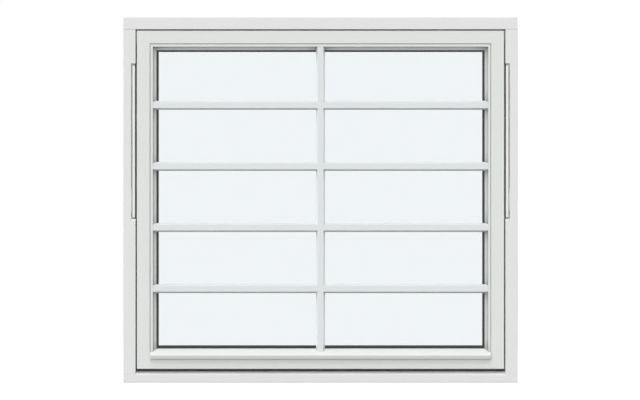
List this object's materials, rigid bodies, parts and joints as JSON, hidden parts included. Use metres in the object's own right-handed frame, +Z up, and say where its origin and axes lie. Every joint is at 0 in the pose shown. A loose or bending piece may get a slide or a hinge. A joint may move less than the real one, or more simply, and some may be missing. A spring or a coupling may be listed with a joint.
{
  "type": "pivot window, top guided and reversible, with glazing bars",
  "caption": "White painted timber pivot window, shut in its frame, with a barred triple glazed sash, a drip bead and side arms lying in notches of the jambs.",
  "frame": {"origin": "under the middle of the sill, halfway through the frame's depth", "axes": "+X to the right as seen from outside, +Y from the outside to the inside, +Z up"},
  "size_m": [1.38, 0.1405, 1.28],
  "materials": {
    "frame_timber": "factory painted softwood, satin white",
    "sash_timber": "factory painted softwood, satin white",
    "bead_timber": "factory painted softwood, satin white",
    "bar_timber": "factory painted softwood, satin white",
    "seal_rubber": "matt black rubber",
    "clear_glass": "clear float glass, faint cool tint",
    "spacer_metal": "matt grey",
    "arm_metal": "powder coated white",
    "fitting_steel": "zinc plated",
    "shoe_plastic": "moulded nylon",
    "handle_metal": "satin"
  },
  "bodies": {
    "root": {"frame_head": "frame_timber", "frame_sill": "frame_timber", "frame_jamb_right": "frame_timber", "frame_jamb_left": "frame_timber", "sash_stile_right": "sash_timber", "sash_stile_left": "sash_timber", "sash_top_rail": "sash_timber", "sash_bottom_rail": "sash_timber", "drip_bead": "bead_timber", "bead_right": "bead_timber", "bead_left": "bead_timber", "bead_top": "bead_timber", "outer_bar_upright_1": "bar_timber", "inner_bar_upright_1": "bar_timber", "outer_bar_level_1": "bar_timber", "outer_bar_level_2": "bar_timber", "outer_bar_level_3": "bar_timber", "outer_bar_level_4": "bar_timber", "inner_bar_level_1": "bar_timber", "inner_bar_level_2": "bar_timber", "inner_bar_level_3": "bar_timber", "inner_bar_level_4": "bar_timber", "weather_seal": "seal_rubber", "outer_gasket": "seal_rubber", "inner_gasket": "seal_rubber", "glass_outer": "clear_glass", "glass_middle": "clear_glass", "glass_inner": "clear_glass", "spacer_outer": "spacer_metal", "spacer_inner": "spacer_metal", "pivot_arm_right": "arm_metal", "pivot_arm_left": "arm_metal", "frame_pivot_right": "fitting_steel", "sash_pivot_right": "fitting_steel", "guide_rail_right": "fitting_steel", "guide_pin_right": "fitting_steel", "frame_pivot_left": "fitting_steel", "sash_pivot_left": "fitting_steel", "guide_rail_left": "fitting_steel", "guide_pin_left": "fitting_steel", "guide_shoe_right": "shoe_plastic", "guide_shoe_left": "shoe_plastic", "handle_rose": "handle_metal", "handle_grip": "handle_metal"}
  },
  "joints": []
}
